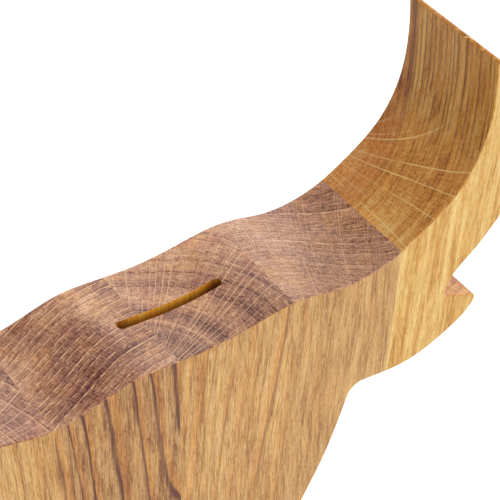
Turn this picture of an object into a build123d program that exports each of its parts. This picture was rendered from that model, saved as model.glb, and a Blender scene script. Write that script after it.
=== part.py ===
from build123d import *
import os

# Rhinoceros money box sawn from an oak panel of six edge-glued staves with upright grain.
# It has a coin slot in its back, and a pocket with a hinged door on its far side.
# X runs along the animal towards the horn, Y from the plain front to the door side, Z up.
# The origin lies under the middle of the box, on the surface it stands on, at half thickness.

# Panel
THICKNESS = 40.0
FRONT_Y = -THICKNESS / 2
BACK_Y = THICKNESS / 2
ARRIS_R = 0.5
PANEL_X = (-140.0, 140.0)
PANEL_Z = (0.0, 220.0)
GLUE_LINES_X = (-92.6, -50.5, -8.3, 33.6, 76.7)
STAVE_NAMES = ("rump_stave", "haunch_stave", "loin_stave", "shoulder_stave", "neck_stave", "head_stave")

# Felt pads under the feet
PAD_R = 7.0
PAD_T = 2.0
PAD_Y = 10.0
FRONT_PAD_X = 22.5
HIND_PAD_X = -91.5

# Coin slot
SLOT_LENGTH = 37.4
SLOT_WIDTH = 3.2
SLOT_X = 2.3

# Coin pocket and the rebate that the door lies in
FRONT_WALL = 9.0
POCKET_X = (-60.0, 32.0)
POCKET_Z = (76.0, 126.0)
POCKET_R = 8.0
DOOR_X = (-68.0, 44.0)
DOOR_Z = (70.0, 132.0)
DOOR_T = 7.5
DOOR_R = 5.0
DOOR_GAP = 0.8
REBATE_DEPTH = 8.0
LEDGE_Y = BACK_Y - REBATE_DEPTH
DOOR_MID_Z = (DOOR_Z[0] + DOOR_Z[1]) / 2
SCOOP_R = 9.0
SCOOP_DEPTH = 6.0

# Butt hinges, let in flush, with the barrel standing proud of the back
HINGE_LENGTH = 25.0
HINGE_Z = (84.0, 118.0)
LEAF_WIDTH = 10.0
LEAF_T = 1.0
BARREL_R = 1.7
BARREL_CLEARANCE = 0.3
AXIS_X = DOOR_X[0] - DOOR_GAP / 2
AXIS_Y = BACK_Y - LEAF_T + BARREL_R
PIN_R = 0.9
PIN_BORE_R = 0.95
PIN_HEAD_R = 1.35
PIN_HEAD_T = 0.6
MIDDLE_KNUCKLE = 8.2
KNUCKLE_GAP = 0.2

# Countersunk screws: hinge screws and the one in the catch plate
SCREW_R = 1.0
SCREW_LENGTH = 6.0
SCREW_HEAD_R = 1.9
SCREW_HEAD_T = 0.9
SCREW_SLOT_W = 0.4
SCREW_SLOT_D = 0.35
SCREW_FROM_AXIS = 6.0
SCREW_SPREAD = 8.0

# Magnet catch at the free edge of the door
CATCH_X = 39.2
MAGNET_R = 4.0
MAGNET_T = 3.0
MAGNET_PROUD = 0.3
PLATE_R = 5.0
PLATE_T = 1.0

# Outline of the animal as (x, z) points, clockwise from the tip of the horn
TIP = (105.3, 208.8)
HORN_FRONT = [(112.6, 194.5), (117.6, 182.5), (120.9, 171.0)]
NOSE_NOTCH = (122.0, 160.5)
NOSE = [(126.2, 153.0), (126.8, 145.0), (124.2, 137.6), (119.8, 131.6), (111.0, 122.2), (103.7, 116.2)]
MOUTH = (100.4, 106.0)
LIP = (116.3, 96.5)
JAW = [(112.9, 90.6), (105.0, 85.8), (95.0, 82.4), (86.0, 81.5), (76.0, 83.1)]
THROAT = (61.6, 86.8)
CHEST = [(59.9, 80.2), (56.2, 66.5), (50.6, 50.3), (44.6, 36.8), (41.0, 25.0), (40.2, 13.0)]
SOLE_Z = PAD_T
FRONT_TOE = (41.4, SOLE_Z)
FRONT_HEEL = (3.0, SOLE_Z)
BELLY = [(2.2, 20.0), (-1.0, 38.0), (-10.5, 51.5), (-27.0, 57.4), (-47.0, 57.0), (-62.5, 50.0),
         (-70.5, 36.0), (-72.6, 20.0)]
HIND_TOE = (-73.2, SOLE_Z)
HIND_HEEL = (-111.0, SOLE_Z)
HIND_LEG = [(-111.6, 22.0), (-112.6, 42.0), (-114.8, 60.0)]
TAIL_CROOK = (-118.4, 80.0)
TAIL_END = (-129.6, 64.5)
TAIL_AND_BACK = [(-127.8, 88.0), (-123.6, 108.0), (-119.4, 126.0), (-112.6, 140.6), (-101.5, 151.4),
                 (-88.0, 157.4), (-77.0, 158.2), (-67.0, 155.2), (-55.0, 150.4), (-48.5, 149.1),
                 (-36.0, 150.2), (-24.5, 151.8), (-14.5, 150.6), (-1.0, 147.9), (13.0, 146.8),
                 (30.0, 147.1), (35.5, 146.4), (43.6, 144.1), (52.0, 141.1), (64.0, 139.8),
                 (76.0, 142.0), (83.6, 145.6), (98.9, 156.8), (106.2, 172.0), (107.6, 185.5),
                 (107.3, 194.5)]
CORNER_R = {TIP: 0.9, NOSE_NOTCH: 5.0, MOUTH: 2.5, LIP: 2.2, THROAT: 5.0, FRONT_TOE: 3.5, FRONT_HEEL: 3.5,
            HIND_TOE: 3.5, HIND_HEEL: 3.5, TAIL_CROOK: 3.0, TAIL_END: 2.0}


def along_y(x, z, y0, y1, radius):
    """Cylinder of the radius along Y, from y0 to y1."""
    return Pos(x, (y0 + y1) / 2, z) * Rot(90, 0, 0) * Cylinder(radius, abs(y1 - y0))


def along_z(x, y, z0, z1, radius):
    """Cylinder of the radius along Z, from z0 to z1."""
    return Pos(x, y, (z0 + z1) / 2) * Cylinder(radius, abs(z1 - z0))


def block(x, y, z, radius=0.0):
    """Box between pairs of limits, its four edges along Y rounded by the radius."""
    size = [high - low for low, high in (x, y, z)]
    middle = [(low + high) / 2 for low, high in (x, y, z)]
    body = Pos(*middle) * Box(*size)
    return fillet(body.edges().filter_by(Axis.Y), radius) if radius else body


def grown(limits, by):
    """A pair of limits moved apart by the same amount at each end."""
    return limits[0] - by, limits[1] + by


def silhouette():
    """The whole panel sawn to the animal's outline, with its arrises broken."""
    curves = [
        Spline(TIP, *HORN_FRONT, NOSE_NOTCH),
        Spline(NOSE_NOTCH, *NOSE, MOUTH),
        Line(MOUTH, LIP),
        Spline(LIP, *JAW, THROAT),
        Spline(THROAT, *CHEST, FRONT_TOE),
        Line(FRONT_TOE, FRONT_HEEL),
        Spline(FRONT_HEEL, *BELLY, HIND_TOE),
        Line(HIND_TOE, HIND_HEEL),
        Spline(HIND_HEEL, *HIND_LEG, TAIL_CROOK),
        Line(TAIL_CROOK, TAIL_END),
        Spline(TAIL_END, *TAIL_AND_BACK, TIP),
    ]
    outline = make_face(Wire(curves))
    for corner, radius in CORNER_R.items():
        nearest = outline.vertices().sort_by_distance(corner)[0]
        outline = fillet(nearest, radius)
    panel = Pos(0, FRONT_Y, 0) * extrude(Plane.XZ * outline, -THICKNESS)
    return fillet(panel.edges().filter_by(Plane.XZ), ARRIS_R)


def coin_slot():
    """Round-ended slot milled down through the back of the animal into the pocket."""
    top = max(z for x, z in TAIL_AND_BACK if abs(x - SLOT_X) < SLOT_LENGTH)
    depth = top - POCKET_Z[1] + POCKET_R
    cutter = Pos(SLOT_X, 0, top) * SlotOverall(SLOT_LENGTH, SLOT_WIDTH)
    return extrude(cutter, -depth)


def coin_pocket():
    """Pocket milled from the door side, with the shallow rebate around its mouth."""
    pocket = block(POCKET_X, (FRONT_Y + FRONT_WALL, BACK_Y), POCKET_Z, POCKET_R)
    rebate = block(grown(DOOR_X, DOOR_GAP), (LEDGE_Y, BACK_Y + 1), grown(DOOR_Z, DOOR_GAP),
                   DOOR_R + DOOR_GAP)
    scoop = along_y(DOOR_X[1] + DOOR_GAP, DOOR_MID_Z, BACK_Y - SCOOP_DEPTH, BACK_Y + 1, SCOOP_R)
    return [pocket, rebate, scoop]


def barrel_notch(z):
    """Room for one hinge barrel and its pin heads where the door meets the back."""
    half = HINGE_LENGTH / 2 + PIN_HEAD_T + BARREL_CLEARANCE
    return along_z(AXIS_X, AXIS_Y, z - half, z + half, BARREL_R + BARREL_CLEARANCE)


def leaf_plate(z, side):
    """Flat of one hinge leaf, from the barrel outwards; side is -1 for the body, 1 for the door."""
    edges = sorted((AXIS_X, AXIS_X + side * LEAF_WIDTH))
    return block(edges, (BACK_Y - LEAF_T, BACK_Y), (z - HINGE_LENGTH / 2, z + HINGE_LENGTH / 2))


def knuckles(z, side):
    """Spans in Z of the knuckles that one leaf carries: two at the ends or one in the middle."""
    inner = MIDDLE_KNUCKLE / 2
    if side > 0:
        return [(z - inner, z + inner)]
    outer = HINGE_LENGTH / 2
    return [(z - outer, z - inner - KNUCKLE_GAP), (z + inner + KNUCKLE_GAP, z + outer)]


def screw_centres(side):
    """X and Z of the screws that hold the leaves of one side."""
    x = AXIS_X + side * SCREW_FROM_AXIS
    return [(x, z + dz) for z in HINGE_Z for dz in (-SCREW_SPREAD, SCREW_SPREAD)]


def screw_form(x, z, face_y, into):
    """Countersunk head and shank below face_y, running along Y in the direction of into."""
    cone = Rot(90 * into, 0, 0) * Cone(SCREW_R, SCREW_HEAD_R, SCREW_HEAD_T)
    head = Pos(x, face_y + into * SCREW_HEAD_T / 2, z) * cone
    return head + along_y(x, z, face_y, face_y + into * SCREW_LENGTH, SCREW_R)


def screw(x, z, face_y, into):
    """Slotted countersunk screw, its head flush with face_y."""
    half = SCREW_HEAD_R + 1
    driver_slot = block((x - half, x + half), sorted((face_y - into, face_y + into * SCREW_SLOT_D)),
                        (z - SCREW_SLOT_W / 2, z + SCREW_SLOT_W / 2))
    return screw_form(x, z, face_y, into) - driver_slot


def hinge_leaf(z, side):
    """One brass leaf with its knuckles rolled round the pin and two countersunk holes."""
    leaf = leaf_plate(z, side)
    for low, high in knuckles(z, -side):
        leaf -= along_z(AXIS_X, AXIS_Y, low - KNUCKLE_GAP, high + KNUCKLE_GAP, BARREL_R + KNUCKLE_GAP)
    for low, high in knuckles(z, side):
        leaf += along_z(AXIS_X, AXIS_Y, low, high, BARREL_R)
    leaf -= along_z(AXIS_X, AXIS_Y, z - HINGE_LENGTH, z + HINGE_LENGTH, PIN_BORE_R)
    for x, screw_z in screw_centres(side):
        leaf -= screw_form(x, screw_z, BACK_Y, -1)
    return leaf


def hinge_pin(z):
    """Brass pin with a head at each end of the barrel."""
    half = HINGE_LENGTH / 2
    pin = along_z(AXIS_X, AXIS_Y, z - half, z + half, PIN_R)
    for end in (-1, 1):
        pin += along_z(AXIS_X, AXIS_Y, z + end * half, z + end * (half + PIN_HEAD_T), PIN_HEAD_R)
    return chamfer(pin.edges().filter_by(GeomType.CIRCLE).filter_by(lambda e: e.radius > PIN_R), 0.15)


def leaf_seat(z, side):
    """Everything that one leaf, its barrel and its screws take out of the wood."""
    seat = [leaf_plate(z, side), barrel_notch(z)]
    seat += [screw_form(x, screw_z, BACK_Y, -1) for x, screw_z in screw_centres(side)]
    return seat


def milled_panel():
    """The sawn panel with its slot, its pocket and all that the door and its catch need."""
    cuts = [coin_slot(), *coin_pocket()]
    for z in HINGE_Z:
        cuts += leaf_seat(z, -1)
    cuts.append(along_y(CATCH_X, DOOR_MID_Z, LEDGE_Y + MAGNET_PROUD - MAGNET_T, LEDGE_Y, MAGNET_R))
    panel = silhouette()
    for cut in cuts:
        panel -= cut
    return panel


def staves():
    """The panel's boards, from the rump to the head, parted at the glue lines."""
    panel = milled_panel()
    edges = (PANEL_X[0], *GLUE_LINES_X, PANEL_X[1])
    boards = [panel & block(limits, (FRONT_Y, BACK_Y), PANEL_Z) for limits in zip(edges, edges[1:])]
    return dict(zip(STAVE_NAMES, boards))


def back_door():
    """Flat oak door that lies in the rebate, its outer arrises broken."""
    low_y, high_y = BACK_Y - DOOR_T, BACK_Y
    door = block(DOOR_X, (low_y, high_y), DOOR_Z, DOOR_R)
    door = fillet(door.faces().sort_by(Axis.Y)[-1].edges(), ARRIS_R)
    for z in HINGE_Z:
        for cut in leaf_seat(z, 1):
            door -= cut
    door -= along_y(CATCH_X, DOOR_MID_Z, low_y, low_y + PLATE_T, PLATE_R)
    return door - screw_form(CATCH_X, DOOR_MID_Z, low_y, 1)


def catch_plate():
    """Steel disc let into the inner face of the door, facing the magnet."""
    low_y = BACK_Y - DOOR_T
    disc = along_y(CATCH_X, DOOR_MID_Z, low_y, low_y + PLATE_T, PLATE_R)
    return disc - screw_form(CATCH_X, DOOR_MID_Z, low_y, 1)


def catch_magnet():
    """Disc magnet in the ledge, standing a little proud of it so that the plate touches first."""
    top = LEDGE_Y + MAGNET_PROUD
    disc = along_y(CATCH_X, DOOR_MID_Z, top - MAGNET_T, top, MAGNET_R)
    return chamfer(disc.edges().sort_by(Axis.Y)[-1], 0.2)


def felt_pads():
    """Round felt pads stuck under the corners of both feet."""
    return [along_z(x, y, 0, PAD_T, PAD_R) for x in (FRONT_PAD_X, HIND_PAD_X) for y in (-PAD_Y, PAD_Y)]


def leaf_screws(side):
    """The four screws that hold the leaves of one side."""
    return [screw(x, z, BACK_Y, -1) for x, z in screw_centres(side)]


parts = {
    **staves(),
    "back_door": back_door(),
    "body_leaf_screws": Compound(leaf_screws(-1)),
    "door_leaf_screws": Compound(leaf_screws(1)),
    "catch_magnet": catch_magnet(),
    "catch_plate": catch_plate(),
    "catch_plate_screw": screw(CATCH_X, DOOR_MID_Z, BACK_Y - DOOR_T, 1),
    "felt_pads": Compound(felt_pads()),
}
for name, z in zip(("lower", "upper"), HINGE_Z):
    parts[f"{name}_hinge_body_leaf"] = hinge_leaf(z, -1)
    parts[f"{name}_hinge_door_leaf"] = hinge_leaf(z, 1)
    parts[f"{name}_hinge_pin"] = hinge_pin(z)

os.makedirs("parts", exist_ok=True)
for name, shape in parts.items():
    export_step(shape, f"parts/{name}.step")
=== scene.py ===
import math

import bpy
import numpy as np
from mathutils import Matrix, Vector


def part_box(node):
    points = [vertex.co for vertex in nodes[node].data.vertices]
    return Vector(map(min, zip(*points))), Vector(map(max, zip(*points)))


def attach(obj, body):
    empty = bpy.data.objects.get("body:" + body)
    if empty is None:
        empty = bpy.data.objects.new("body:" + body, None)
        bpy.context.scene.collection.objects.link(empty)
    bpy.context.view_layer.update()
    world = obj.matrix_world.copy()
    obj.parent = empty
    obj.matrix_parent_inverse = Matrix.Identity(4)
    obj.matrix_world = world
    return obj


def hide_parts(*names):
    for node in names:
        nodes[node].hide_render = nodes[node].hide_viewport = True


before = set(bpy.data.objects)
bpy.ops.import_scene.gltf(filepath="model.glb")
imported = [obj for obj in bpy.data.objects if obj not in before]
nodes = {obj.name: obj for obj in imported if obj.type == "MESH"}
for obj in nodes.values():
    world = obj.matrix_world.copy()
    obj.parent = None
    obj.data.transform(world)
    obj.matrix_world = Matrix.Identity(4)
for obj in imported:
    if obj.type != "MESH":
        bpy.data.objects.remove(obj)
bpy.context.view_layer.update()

# ---------------------------------------------------------------------------
# The six staves. Boards of solid oak, about 42 mm wide and 40 mm thick, glued
# edge to edge with the grain upright, then sawn to the animal's outline, sanded
# and oiled. The top shows end grain, the faces long grain.
# ---------------------------------------------------------------------------

THICKNESS = 40.0  # of the staves, in mm
STUDIO_LIGHT = 1.75  # how many times its albedo a lit face shows
SHEEN = 0.035  # what the oil's own shine adds to every colour
DARKEST = 0.004  # least albedo of any colour


def paint(red, green, blue):
    """Albedo that shows as the given 0-255 sRGB colour under the studio's light, with the sheen taken off."""
    steps = [c / 255 for c in (red, green, blue)]
    linear = [s / 12.92 if s <= 0.04045 else ((s + 0.055) / 1.055) ** 2.4 for s in steps]
    return (*[max(value - SHEEN, DARKEST) / STUDIO_LIGHT for value in linear], 1.0)


class Bench:
    """One material on the bench, with short names for the nodes that it is wired up from."""

    def __init__(self, name):
        self.material = bpy.data.materials.new(name)
        self.material.use_nodes = True
        self.tree = self.material.node_tree
        self.shader = self.tree.nodes["Principled BSDF"]

    def feed(self, socket, value):
        """Joins an outlet to a socket, or sets the socket to a plain value."""
        if isinstance(value, bpy.types.NodeSocket):
            self.tree.links.new(value, socket)
        else:
            socket.default_value = value

    def node(self, kind, outlet=0, settings=None, **inlets):
        """An outlet of a new node, made with its settings and its inlets, by name or as i0, i1 and so on."""
        made = self.tree.nodes.new(kind)
        for key, value in (settings or {}).items():
            setattr(made, key, value)
        for key, value in inlets.items():
            socket = made.inputs[int(key[1:]) if key[1:].isdigit() else key]
            self.feed(socket, value)
        return made.outputs[outlet]

    def sum(self, operation, a, b=0.0, clamp=False):
        """Any arithmetic on one or two values."""
        settings = {"operation": operation, "use_clamp": clamp}
        return self.node("ShaderNodeMath", 0, settings, i0=a, i1=b)

    def times(self, a, b, clamp=False):
        return self.sum("MULTIPLY", a, b, clamp)

    def plus(self, first, *others):
        for other in others:
            first = self.sum("ADD", first, other)
        return first

    def minus(self, a, b):
        return self.sum("SUBTRACT", a, b)

    def larger(self, a, b):
        return self.sum("MAXIMUM", a, b)

    def centred(self, value, size):
        """The value about its middle, 0.5, drawn out to the size."""
        return self.times(self.minus(value, 0.5), size)

    def step(self, value, low, high, out_low=0.0, out_high=1.0):
        """Smooth step of the value from out_low at low to out_high at high."""
        kind, settings = "ShaderNodeMapRange", {"interpolation_type": "SMOOTHSTEP"}
        return self.node(kind, 0, settings, i0=value, i1=low, i2=high, i3=out_low, i4=out_high)

    def band(self, value, rise, top, fall, end):
        """One from top to fall, sloping to nothing at rise and at end."""
        return self.times(self.step(value, rise, top), self.step(value, fall, end, 1.0, 0.0))

    def vector(self, operation, a, b):
        return self.node("ShaderNodeVectorMath", 0, {"operation": operation}, i0=a, i1=b)

    def scaled(self, point, *factors):
        """The point with each coordinate multiplied by its own factor."""
        return self.vector("MULTIPLY", point, factors)

    def split(self, value, kind="ShaderNodeSeparateXYZ"):
        """The three parts of a vector or, by its kind of node, of a colour."""
        return tuple(self.node(kind, i0=value).node.outputs)

    def millimetres(self):
        """The place on the piece, in mm."""
        return self.scaled(self.node("ShaderNodeTexCoord", "Object"), 1000.0, 1000.0, 1000.0)

    def noise(self, place, detail, rough=0.5, outlet="Fac"):
        kind = "ShaderNodeTexNoise"
        return self.node(kind, outlet, Vector=place, Scale=1.0, Detail=detail, Roughness=rough)

    def ramp(self, value, *stops):
        """Colour ramp through (position, colour) stops."""
        outlet = self.node("ShaderNodeValToRGB", i0=value)
        elements = outlet.node.color_ramp.elements
        while len(elements) < len(stops):
            elements.new(0.5)
        for element, (position, colour) in zip(elements, stops):
            element.position = position
            element.color = colour
        return outlet

    def blend(self, share, first, second, way="MIX"):
        """The first colour, with the second mixed in by the share."""
        settings = {"data_type": "RGBA", "blend_type": way}
        return self.node("ShaderNodeMix", 2, settings, i0=share, i6=first, i7=second)

    def stained(self, colour, share, stain):
        """The colour multiplied by the stain, by the share."""
        return self.blend(share, colour, self.blend(1.0, colour, (*stain, 1.0), "MULTIPLY"))

    def finish(self, height=None, strength=1.0, depth=0.001, **surface):
        """The material, its sockets filled in by name, with the height as a bump of the depth in metres."""
        if height is not None:
            surface["Normal"] = self.node("ShaderNodeBump", Strength=strength, Distance=depth, Height=height)
        for key, value in surface.items():
            self.feed(self.shader.inputs[key.replace("_", " ")], value)
        return self.material


# what a board of oak is like where its stave says nothing else
USUAL_OAK = {
    # how it grew, in mm
    "ring": 2.3,  # mean width of a year
    "lean": (0.0, 0.0),  # lean of the pith, along x and y for each unit of height
    "wander": 5.0,  # how far the trunk bends out of true
    "wobble": 1.1,  # how far a ring strays from its circle
    "heart": 0.0,  # radius within which the wood is red, if it is not 0
    "ray_gap": 3.4,  # mean distance between broad rays
    # its end grain
    "ring_light": 0.25,  # strength of the light line at the start of each year
    "ring_dark": 0.15,  # depth of each year's row of pores
    "ring_band": 0.4,  # difference in tone from one year to the next
    "ray_light": 0.5,  # strength of the broad rays
    "fine_rays": 0.25,  # strength of the thin rays
    "glow": paint(255, 208, 160),  # colour of the light lines and rays
    "cloud_end": 0.7,  # contrast of the slow clouds
    "purple": 0.7,  # most purple that a patch takes
    "paler": (0.0, 0.0),  # how much paler it grows over one thickness of x and of y
    # its long grain
    "face_line": 0.4,  # strength of the rings cut lengthways
    "seam_tone": paint(150, 98, 54),  # their colour
    "face_streak": 0.6,  # contrast of the slow streaks
    # painted shade, then what was done to it
    "edge_brown": 0.0,  # painted shade: how much darker and browner the long grain is painted where it faces sideways, along x, than where it faces front or back
    "slot": None,  # box (x, x, y, y, lowest z) of a raw cut, in mm
}


class Oak(Bench):
    """Solid oak as it grew. Rings are cylinders round the pith, an upright line through the point pith
    (x, y in mm). Rays are upright sheets through it, and pores and fibres are long thin tubes along it.
    middle is the stave's own middle. Every noise is given by its pitches, in cycles per mm."""

    def __init__(self, name, pith, middle, seed, look):
        super().__init__(name)
        self.pith, self.middle, self.seed, self.look = pith, middle, seed, look
        self.reach = math.hypot(middle[0] - pith[0], middle[1] - pith[1])
        self.place = self.millimetres()
        self.shift = self.vector("ADD", self.place, (seed * 37.0, seed * 11.0, seed * 53.0))

        # growth: a slow bend of the trunk, the sway of the fibres, and the small wobble of the rings
        trunk = self.strayed(self.place, 0.02, 0.009, look["wander"])
        swayed = self.strayed(trunk, 0.05, 0.02, look["wobble"] * 2.2)
        self.grown = self.strayed(swayed, 0.25, 0.015, look["wobble"])
        self.ray_radius, self.ray_arc, self.height = self.polar(trunk)
        self.radius, self.arc, _ = self.polar(self.grown)

        # rings: uneven years, each with a light line, a row of pores and a soft dark band
        uneven = self.line_noise(self.times(self.radius, 0.13))
        year = self.plus(self.sum("DIVIDE", self.radius, look["ring"]), self.times(uneven, 2.0), seed)
        self.vigour = self.line_noise(self.times(year, 0.8))
        self.broken = self.step(self.woven(0.5, 0.42), 0.40, 0.58)
        part_year = self.sum("FRACT", year)
        self.line = self.band(part_year, 0.0, 0.05, 0.09, 0.2)
        self.pore_row = self.band(part_year, 0.1, 0.17, 0.24, 0.36)
        self.early = self.band(part_year, 0.12, 0.24, 0.3, 0.75)
        self.seam = self.band(part_year, 0.03, 0.11, 0.14, 0.3)
        self.border = self.larger(
            self.step(part_year, 0.7, 0.98), self.step(part_year, 0.05, 0.15, 1.0, 0.0))
        self.fibre = self.strands(2.0, 0.09, detail=3.0, rough=0.65)

    def strayed(self, start, across, upright, size):
        """The start moved sideways by a noise of the size in mm."""
        point = self.scaled(self.shift, across, across, upright)
        stray = self.vector("SUBTRACT", self.noise(point, detail=1.0, outlet="Color"), (0.5, 0.5, 0.5))
        return self.vector("ADD", start, self.scaled(stray, size, size, 0.0))

    def polar(self, point):
        """Distance from the pith, arc round it at the stave's own reach, and height, all in mm."""
        x, y, height = self.split(point)
        lean_x, lean_y = self.look["lean"]
        east = self.minus(self.minus(x, self.pith[0]), self.times(height, lean_x))
        north = self.minus(self.minus(y, self.pith[1]), self.times(height, lean_y))
        away = self.sum("SQRT", self.plus(self.times(east, east), self.times(north, north)))
        return away, self.times(self.sum("ARCTAN2", north, east), self.reach), height

    def line_noise(self, value):
        """Noise along one value only."""
        settings = {"noise_dimensions": "1D"}
        return self.node("ShaderNodeTexNoise", "Fac", settings, W=value, Scale=1.0, Detail=1.0)

    def blotches(self, across, upright, detail=1.0, rough=0.5):
        """Noise across and up the trunk."""
        return self.noise(self.scaled(self.shift, across, across, upright), detail, rough)

    def strands(self, across, upright, detail=1.0, rough=0.5):
        """Noise across and up the trunk that follows its growth."""
        return self.noise(self.scaled(self.grown, across, across, upright), detail, rough)

    def woven(self, across, along, detail=1.0, rough=0.5):
        """Noise across the rings and along them."""
        level = self.plus(self.times(self.height, 0.05), self.seed * 9.0)
        turn = self.times(self.arc, along)
        point = self.node("ShaderNodeCombineXYZ", i0=self.times(self.radius, across), i1=turn, i2=level)
        return self.noise(point, detail, rough)

    def rays(self, gap, width, salt):
        """Upright sheets at uneven angles, each fading in and out along its run. gap and width are in mm."""
        turn = self.plus(self.times(self.ray_arc, 1.0 / gap), salt + self.seed * 7.0)
        settings = {"voronoi_dimensions": "1D"}
        distance = self.node("ShaderNodeTexVoronoi", "Distance", settings, W=turn, Scale=1.0)
        near = self.times(distance, self.times(self.ray_radius, gap / self.reach))
        own_light, own_run, _ = self.split(distance.node.outputs["Color"], "ShaderNodeSeparateColor")
        outwards, upwards = self.times(self.ray_radius, 0.04), self.times(self.height, 0.045)
        run = self.node("ShaderNodeCombineXYZ", i0=self.times(own_run, 90.0), i1=outwards, i2=upwards)
        fade = self.step(self.noise(run, detail=1.0), 0.33, 0.52)
        mask = self.times(self.step(near, width * 0.4, width, 1.0, 0.0), fade)
        return self.times(mask, self.plus(self.times(own_light, 0.75), 0.25))

    def end_grain(self, tones):
        """Clouds, ring bands and the fine weave of rings and rays, then the light lines over them."""
        look = self.look
        pallor = self.node("ShaderNodeVectorMath", 1, {"operation": "DOT_PRODUCT"},
                           i0=self.vector("SUBTRACT", self.place, (*self.middle, 0.0)),
                           i1=(look["paler"][0] / THICKNESS, look["paler"][1] / THICKNESS, 0.0))
        row_depth = self.times(self.plus(0.3, self.broken), -look["ring_dark"])
        tone = self.plus(
            0.5,
            self.centred(self.blotches(0.055, 0.02), look["cloud_end"]),
            self.centred(self.blotches(0.19, 0.06, detail=2.0), 0.35),
            self.centred(self.woven(1.9, 0.45, detail=2.0, rough=0.65), 1.2),
            self.centred(self.woven(0.5, 2.4), 0.6),
            self.centred(self.blotches(2.6, 0.3, rough=0.7), 0.9),
            self.centred(self.vigour, look["ring_band"]),
            pallor,
            self.times(self.pore_row, row_depth),
            self.times(self.early, look["ring_dark"] * -0.4),
        )
        warm = self.step(self.strands(0.13, 0.04), 0.44, 0.66, 0.0, 0.6)
        colour = self.stained(self.ramp(tone, *tones), warm, (1.08, 0.96, 0.66))
        purple = self.step(self.blotches(0.09, 0.03), 0.5, 0.7, 0.0, look["purple"])
        colour = self.stained(colour, purple, (0.82, 0.66, 0.72))
        ring_glow = self.times(self.line, self.times(self.plus(0.25, self.broken), look["ring_light"]))
        broad_glow = self.times(self.rays(look["ray_gap"], width=0.21, salt=3.1), look["ray_light"])
        thin_glow = self.times(self.rays(1.2, width=0.15, salt=19.7), look["fine_rays"])
        return self.blend(self.larger(ring_glow, self.larger(broad_glow, thin_glow)), colour, look["glow"])

    def long_grain(self, tones):
        """Fibres, dashes of open pores and slow streaks, then the rings cut lengthways."""
        face_line = self.look["face_line"]
        mottle = self.strands(0.35, 0.04, detail=2.0)
        dash = self.step(self.strands(1.2, 0.045, detail=2.0), 0.48, 0.74)
        tone = self.plus(
            0.57,
            self.centred(self.strands(0.26, 0.007, detail=2.0), self.look["face_streak"]),
            self.centred(self.fibre, 1.3),
            self.centred(mottle, 0.7),
            self.centred(self.blotches(3.6, 0.4, rough=0.7), 0.9),
            self.times(dash, self.times(self.plus(1.0, self.early), -0.12)),
        )
        golden = self.larger(self.times(self.border, face_line), self.step(mottle, 0.5, 0.68, 0.0, 0.5))
        colour = self.stained(self.ramp(tone, *tones), golden, (1.03, 0.86, 0.56))
        strength = self.step(self.strands(0.12, 0.02), 0.36, 0.6, face_line * 0.5, face_line)
        ink = self.times(self.seam, strength)
        year_ink = self.step(self.vigour, 0.3, 0.55, 0.5, 1.0)
        uneven_ink = self.times(year_ink, self.step(self.fibre, 0.3, 0.62, 1.1, 0.75))
        return self.blend(self.times(ink, uneven_ink, clamp=True), colour, self.look["seam_tone"])

    def shade_sides(self, colour, towards_face):
        """Painted shade: the long grain darker and browner where it faces sideways, along x, most of all in
        the rows of pores.
        """
        brown = self.step(self.sum("ABSOLUTE", towards_face), 0.3, 0.75, self.look["edge_brown"], 0.0)
        colour = self.stained(colour, brown, (0.87, 0.68, 0.46))
        rows = self.plus(self.pore_row, self.times(self.early, 0.45))
        rows = self.times(rows, self.step(self.strands(0.5, 0.02), 0.34, 0.6, 0.25, 1.2))
        return self.stained(colour, self.times(brown, rows, clamp=True), (0.42, 0.35, 0.28))

    def reddened(self, colour, end_share):
        """Red heartwood, with a dark rim that is weaker on the end grain."""
        heart = self.look["heart"]
        rim = self.band(self.radius, heart - 0.6, heart, heart + 0.3, heart + 1.1)
        rim = self.times(rim, self.minus(1.0, self.times(end_share, 0.8)))
        red = self.step(self.radius, heart - 0.8, heart + 0.4, 1.0, 0.0)
        return self.stained(self.stained(colour, red, (0.88, 0.77, 0.84)), rim, (0.52, 0.42, 0.4))

    def cut_raw(self, colour, end_share):
        """Bare orange wood on the walls of the slot, darker towards both ends."""
        left, right, front, back, lowest = self.look["slot"]
        x, y, z = self.split(self.place)
        inside = self.times(self.band(x, left - 0.1, left, right, right + 0.1),
                            self.band(y, front - 0.1, front, back, back + 0.1))
        inside = self.times(inside, self.step(z, lowest - 0.5, lowest))
        raw = self.ramp(self.fibre, (0.38, paint(236, 142, 54)), (0.62, paint(255, 200, 92)))
        away_from_ends = self.band(x, left + 1.0, left + 8.0, right - 6.0, right - 1.0)
        raw = self.stained(raw, self.minus(1.0, away_from_ends), (0.5, 0.36, 0.34))
        return self.blend(self.times(inside, self.minus(1.0, end_share)), colour, raw)


def oak(name, pith, middle, seed, end_tones, long_tones, **differences):
    """Oak with its differences from USUAL_OAK: end grain where the cut faces up or down, else long grain."""
    look = {**USUAL_OAK, **differences}
    b = Oak(name, pith, middle, seed, look)
    _, towards_face, towards_top = b.split(b.node("ShaderNodeTexCoord", "Normal"))
    end_share = b.step(b.sum("ABSOLUTE", towards_top), 0.18, 0.72)
    long_colour = b.long_grain(long_tones)
    # painted shade on the sideways faces of the long grain
    if look["edge_brown"]:
        long_colour = b.shade_sides(long_colour, towards_face)
    colour = b.blend(end_share, long_colour, b.end_grain(end_tones))
    if look["heart"]:
        colour = b.reddened(colour, end_share)
    if look["slot"]:
        colour = b.cut_raw(colour, end_share)
    return b.finish(
        height=b.minus(b.times(b.fibre, 0.4), b.times(b.pore_row, b.broken)), strength=0.3, depth=0.0001,
        Base_Color=colour, Roughness=b.plus(0.42, b.times(b.fibre, 0.2)), Specular_IOR_Level=0.3)


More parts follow.
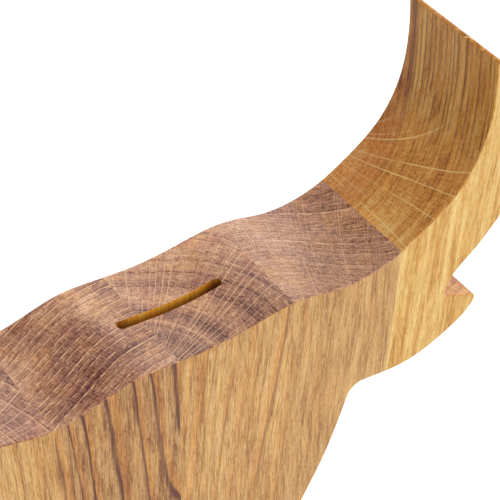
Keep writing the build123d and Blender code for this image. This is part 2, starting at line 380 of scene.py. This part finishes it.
# the tones of end grain and of long grain, from dark through middling to light
rosy_end = ((0.0, paint(98, 56, 46)), (0.5, paint(183, 131, 105)), (1.0, paint(244, 196, 154)))
deep_end = ((0.0, paint(90, 50, 41)), (0.5, paint(170, 120, 96)), (1.0, paint(236, 188, 148)))
pale_end = ((0.0, paint(112, 70, 60)), (0.5, paint(200, 148, 120)), (1.0, paint(250, 204, 166)))
amber_end = ((0.0, paint(160, 98, 40)), (0.5, paint(224, 154, 80)), (1.0, paint(252, 204, 126)))


def four_tones(dark, brown, fair, light):
    """The tones of long grain at their places in the ramp."""
    return tuple(zip((0.0, 0.35, 0.56, 1.0), (dark, brown, fair, light)))


tan_long = four_tones(paint(136, 86, 44), paint(184, 134, 78), paint(210, 164, 106), paint(238, 202, 142))
russet_long = four_tones(paint(108, 64, 36), paint(156, 107, 65), paint(188, 142, 93), paint(226, 184, 127))
gold_long = four_tones(paint(170, 114, 44), paint(211, 156, 74), paint(228, 184, 106), paint(248, 220, 152))
coin_cut = (-16.4, 21.0, -1.62, 1.62, 120.0)  # the coin slot's box: x, x, y, y and lowest z, in mm

stave_oaks = {
    "rump_stave": oak(
        "oak_rump", pith=(-158.0, -72.0), middle=(-110.0, 0.0), seed=1.7,
        end_tones=deep_end, long_tones=tan_long),
    "haunch_stave": oak(
        "oak_haunch", pith=(-91.0, -26.0), middle=(-71.0, 0.0), seed=2.3,
        end_tones=deep_end, long_tones=tan_long,
        ring=3.4, ray_gap=2.6, ray_light=0.8, face_line=0.6, seam_tone=paint(140, 90, 54)),
    "loin_stave": oak(
        "oak_loin", pith=(18.0, -150.0), middle=(-30.0, 0.0), seed=4.1,
        end_tones=rosy_end, long_tones=russet_long,
        ring=2.2, lean=(-0.06, 0.02), wander=3.5, wobble=0.55, ray_gap=5.0,
        ring_light=0.7, ray_light=0.2, fine_rays=0.15, cloud_end=1.25, purple=0.6, paler=(-0.12, 0.0),
        face_line=1.7, seam_tone=paint(108, 66, 44), slot=coin_cut),
    "shoulder_stave": oak(
        "oak_shoulder", pith=(-38.0, -25.0), middle=(13.0, 0.0), seed=9.2,
        end_tones=rosy_end, long_tones=tan_long,
        ring=4.2, lean=(0.1, 0.0), ray_gap=2.7,
        ring_light=0.2, ring_band=0.75, ray_light=0.65, fine_rays=0.3, cloud_end=0.4, purple=1.0,
        paler=(0.14, 0.45), face_line=0.8, slot=coin_cut),
    "neck_stave": oak(
        "oak_neck", pith=(20.0, -82.0), middle=(55.0, 0.0), seed=7.3,
        end_tones=pale_end, long_tones=tan_long,
        ring=1.9, lean=(-0.06, 0.0), ray_gap=3.6,
        ring_light=0.6, ring_band=0.3, fine_rays=0.4, cloud_end=0.6),
    "head_stave": oak(
        "oak_head", pith=(80.4, 39.8), middle=(100.0, 0.0), seed=8.6,
        end_tones=amber_end, long_tones=gold_long,
        ring=1.9, lean=(0.0, 0.05), wander=3.0, wobble=0.8, heart=42.5, ray_gap=4.0,
        ring_light=0.1, ring_dark=0.1, ring_band=0.5, ray_light=1.6, fine_rays=0.2, glow=paint(255, 214, 142),
        purple=0.0, paler=(-0.35, 0.0), face_line=0.1, seam_tone=paint(196, 140, 70), face_streak=1.3,
        # painted shade on the head's sideways faces
        edge_brown=1.0),
}
for stave, timber in stave_oaks.items():
    nodes[stave].data.materials[0] = timber

# ---------------------------------------------------------------------------
# The door at the back. One oak board, 7.5 mm thick, its grain upright like the
# body's, planed, its corners rounded to the milled rebate, and oiled.
# ---------------------------------------------------------------------------

nodes["back_door"].data.materials[0] = oak(
    "oak_door", pith=(-30.0, -46.0), middle=(-12.0, 16.0), seed=11.2,
    end_tones=rosy_end, long_tones=russet_long,
    ring=2.6, lean=(0.05, 0.09), face_line=0.6)

# ---------------------------------------------------------------------------
# The two butt hinges. Each is two leaves of 1 mm brass sheet, stamped, rolled
# round a brass pin and barrel-finished, so the flats carry a fine upright brush.
# ---------------------------------------------------------------------------


def worked_metal(name, dark, light, roughness, brush, mark_depth=0.00001):
    """Metal with slow tarnish clouds between two tones and fine scratches, drawn out by the brush's
    pitches in cycles per mm and cut to the mark depth in metres."""
    b = Bench(name)
    place = b.millimetres()
    tarnish = b.noise(b.scaled(place, 0.35, 0.35, 0.35), detail=3.0, rough=0.6)
    scratches = b.noise(b.scaled(place, *brush), detail=2.0, rough=0.7)
    specks = b.noise(b.scaled(place, 3.0, 3.0, 3.0), detail=1.0)
    dull = b.plus(b.times(tarnish, -0.14), b.times(scratches, 0.16))
    colour = b.ramp(tarnish, (0.25, (*dark, 1.0)), (0.7, (*light, 1.0)))
    return b.finish(
        height=b.plus(scratches, b.times(specks, 0.3)), strength=0.35, depth=mark_depth,
        Base_Color=colour, Roughness=b.plus(dull, roughness), Metallic=1.0)


sheet_brass = worked_metal(
    "hinge_brass", dark=(0.50, 0.33, 0.12), light=(0.60, 0.41, 0.16), roughness=0.32, brush=(6.0, 6.0, 0.25))
for hinge in ("upper", "lower"):
    for piece in ("hinge_body_leaf", "hinge_door_leaf", "hinge_pin"):
        nodes[f"{hinge}_{piece}"].data.materials[0] = sheet_brass

# ---------------------------------------------------------------------------
# The screws of the hinges. Slotted countersunk brass wood screws, turned, four
# in the body's leaves and four in the door's, their heads flush with the leaf.
# ---------------------------------------------------------------------------

turned_brass = worked_metal(
    "screw_brass", dark=(0.40, 0.26, 0.09), light=(0.52, 0.35, 0.13), roughness=0.30, brush=(5.0, 0.6, 5.0))
for leaf in ("body", "door"):
    nodes[f"{leaf}_leaf_screws"].data.materials[0] = turned_brass

# ---------------------------------------------------------------------------
# The catch. A nickel-plated disc magnet pressed into the body's ledge holds a
# zinc-plated steel plate, fixed with one screw in the door's inner face.
# ---------------------------------------------------------------------------

nodes["catch_magnet"].data.materials[0] = worked_metal(
    "magnet_nickel", dark=(0.34, 0.33, 0.31), light=(0.46, 0.45, 0.43), roughness=0.22, brush=(2.5, 2.5, 2.5))
zinc_plate = worked_metal(
    "plate_steel", dark=(0.34, 0.35, 0.36), light=(0.48, 0.49, 0.51), roughness=0.36, brush=(4.0, 0.5, 4.0),
    mark_depth=0.00002)
for piece in ("catch_plate", "catch_plate_screw"):
    nodes[piece].data.materials[0] = zinc_plate

# ---------------------------------------------------------------------------
# The four pads under the feet. Discs punched from 2 mm dark brown wool felt,
# glued on; the punched rim bulges a little and is fuzzy, the sole is flattened.
# ---------------------------------------------------------------------------

PAD_RADIUS = 0.007
PAD_ROUNDS, PAD_SPOKES = 26, 144
RIM_BULGE, FACE_BULGE = 0.28, 0.55  # powers of the superellipse: the smaller, the squarer
TUFT_WAVES = (5, 11, 19, 31, 47)  # waves in one turn
RIM_TUFTS, FACE_TUFTS = 0.02, 0.00003  # half of the deepest tuft: share of the radius, and metres


def felt_disc(centre, radius, low, high, seed):
    """Grid of rounds by spokes: a superellipse profile from the sole's middle to the top's middle, carried
    round the centre. Sums of waves draw its rim in by up to 4 % and both its faces by up to 0.06 mm."""
    half = (high - low) / 2
    sweep = np.linspace(-math.pi / 2, math.pi / 2, PAD_ROUNDS)[1:-1]
    out = np.abs(np.cos(sweep)) ** RIM_BULGE * radius
    up = np.sign(np.sin(sweep)) * np.abs(np.sin(sweep)) ** FACE_BULGE * half + low + half
    turn = np.linspace(0.0, 2 * math.pi, PAD_SPOKES, endpoint=False)
    draw = np.random.default_rng(seed)
    spokes, rounds = np.meshgrid(turn, sweep)
    tufts = np.zeros_like(spokes)
    for wave in TUFT_WAVES:
        phase, slant = draw.uniform(0.0, 2 * math.pi), draw.uniform(-4.0, 4.0)
        tufts += np.sin(wave * spokes + slant * rounds + phase) / len(TUFT_WAVES)
    drawn_in = 1.0 - RIM_TUFTS * (1.0 + tufts)
    x = centre[0] + np.outer(out, np.cos(turn)) * drawn_in
    y = centre[1] + np.outer(out, np.sin(turn)) * drawn_in
    z = up[:, None] + FACE_TUFTS * (1.0 + tufts) * np.cos(rounds) * np.where(rounds < 0, 1.0, -1.0)
    grid = np.stack([x, y, z], -1).reshape(-1, 3)
    verts = np.vstack([grid, [(centre[0], centre[1], low), (centre[0], centre[1], high)]])
    index = np.arange(len(grid)).reshape(len(sweep), PAD_SPOKES)
    nxt = np.roll(index, -1, axis=1)
    sides = np.stack([index[:-1], nxt[:-1], nxt[1:], index[1:]], -1).reshape(-1, 4)
    sole = np.stack([np.full(PAD_SPOKES, len(grid)), nxt[0], index[0]], -1)
    crown = np.stack([np.full(PAD_SPOKES, len(grid) + 1), index[-1], nxt[-1]], -1)
    return verts, sides.tolist() + sole.tolist() + crown.tolist()


def wool_felt(name):
    """Dark wool felt: matted fibres in two sizes for colour and nap, with a soft sheen."""
    b = Bench(name)
    place = b.millimetres()
    mat = b.noise(b.scaled(place, 1.1, 1.1, 2.2), detail=4.0, rough=0.7)
    hairs = b.noise(b.scaled(place, 4.5, 4.5, 6.5), detail=3.0, rough=0.8)
    shade = b.plus(b.times(mat, 0.6), b.times(hairs, 0.4))
    colour = b.ramp(shade, (0.32, (0.020, 0.011, 0.007, 1.0)), (0.68, (0.095, 0.056, 0.034, 1.0)))
    return b.finish(
        height=shade, strength=0.8, depth=0.00025, Base_Color=colour, Roughness=1.0,
        Specular_IOR_Level=0.1, Sheen_Weight=0.35, Sheen_Roughness=0.6)


felt = wool_felt("felt")
pads_low, pads_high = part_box("felt_pads")
pad_places = {
    "hind_front_felt_pad": (pads_low[0] + PAD_RADIUS, pads_low[1] + PAD_RADIUS),
    "hind_back_felt_pad": (pads_low[0] + PAD_RADIUS, pads_high[1] - PAD_RADIUS),
    "fore_front_felt_pad": (pads_high[0] - PAD_RADIUS, pads_low[1] + PAD_RADIUS),
    "fore_back_felt_pad": (pads_high[0] - PAD_RADIUS, pads_high[1] - PAD_RADIUS),
}
for seed, (pad_name, centre) in enumerate(pad_places.items(), start=40):
    mesh = bpy.data.meshes.new(pad_name)
    verts, faces = felt_disc(centre, PAD_RADIUS, pads_low[2], pads_high[2], seed)
    mesh.from_pydata(verts.tolist(), [], faces)
    mesh.shade_smooth()
    mesh.materials.append(felt)
    pad = bpy.data.objects.new(pad_name, mesh)
    bpy.context.scene.collection.objects.link(pad)
    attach(pad, "money_box_body")
    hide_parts("felt_pads")

# ---------------------------------------------------------------------------
# The floor, the light and the camera. A wide white table top under a soft white
# dome, with two very large soft boxes, one to the right and one in front. The
# dome is seen at full white, so that the table's far edge never shows.
# ---------------------------------------------------------------------------

FLOOR_REACH = 40.0
DOME_LIGHT = 0.8

corners = [(x * FLOOR_REACH, y * FLOOR_REACH, 0.0) for x, y in ((-1, -1), (1, -1), (1, 1), (-1, 1))]
floor_mesh = bpy.data.meshes.new("table_top")
floor_mesh.from_pydata(corners, [], [(0, 1, 2, 3)])
floor_mesh.materials.append(Bench("white_table").finish(Base_Color=(0.93, 0.93, 0.93, 1.0), Roughness=0.9))
floor = bpy.data.objects.new("table_top", floor_mesh)
bpy.context.scene.collection.objects.link(floor)

world = bpy.data.worlds.new("soft_dome")
world.use_nodes = True
dome = world.node_tree
lit = dome.nodes["Background"]
seen = dome.nodes.new("ShaderNodeBackground")
for background, strength in ((lit, DOME_LIGHT), (seen, 1.0)):
    background.inputs["Color"].default_value = (1.0, 1.0, 1.0, 1.0)
    background.inputs["Strength"].default_value = strength
choice = dome.nodes.new("ShaderNodeMixShader")
dome.links.new(dome.nodes.new("ShaderNodeLightPath").outputs["Is Camera Ray"], choice.inputs[0])
dome.links.new(lit.outputs[0], choice.inputs[1])
dome.links.new(seen.outputs[0], choice.inputs[2])
dome.links.new(choice.outputs[0], dome.nodes["World Output"].inputs["Surface"])
bpy.context.scene.world = world


def lamp(name, towards, strength, breadth):
    """Very large far soft box in the direction towards, as broad in the sky as the breadth (degrees)."""
    light = bpy.data.lights.new(name, "SUN")
    light.energy = strength
    light.angle = math.radians(breadth)
    box = bpy.data.objects.new(name, light)
    box.matrix_world = Vector(towards).to_track_quat("Z", "Y").to_matrix().to_4x4()
    bpy.context.scene.collection.objects.link(box)


lamp("right_soft_box", towards=(0.76, 0.36, 0.46), strength=2.6, breadth=50.0)
lamp("front_soft_box", towards=(0.0, -0.90, 0.42), strength=2.5, breadth=60.0)

bpy.context.scene.view_settings.view_transform = "Standard"

# the camera looks along its heading, from +Y towards +X, and down by its tilt; its roll is in radians
heading, tilt, roll = math.radians(38.665), math.radians(46.669), 0.0392
camera_place = (-0.16936, -0.25141, 0.49493)
forward = Vector((math.sin(heading) * math.cos(tilt), math.cos(heading) * math.cos(tilt), -math.sin(tilt)))
level = Vector((math.cos(heading), -math.sin(heading), 0.0))
rise = level.cross(forward)
across = math.cos(roll) * level + math.sin(roll) * rise
upward = math.cos(roll) * rise - math.sin(roll) * level
lens = bpy.data.cameras.new("camera")
lens.sensor_width = 36.0
lens.lens = 112.05
lens.clip_start = 0.01
camera = bpy.data.objects.new("camera", lens)
turned = Matrix((across, upward, -forward)).transposed().to_4x4()
camera.matrix_world = Matrix.Translation(camera_place) @ turned
bpy.context.scene.collection.objects.link(camera)
bpy.context.scene.camera = camera
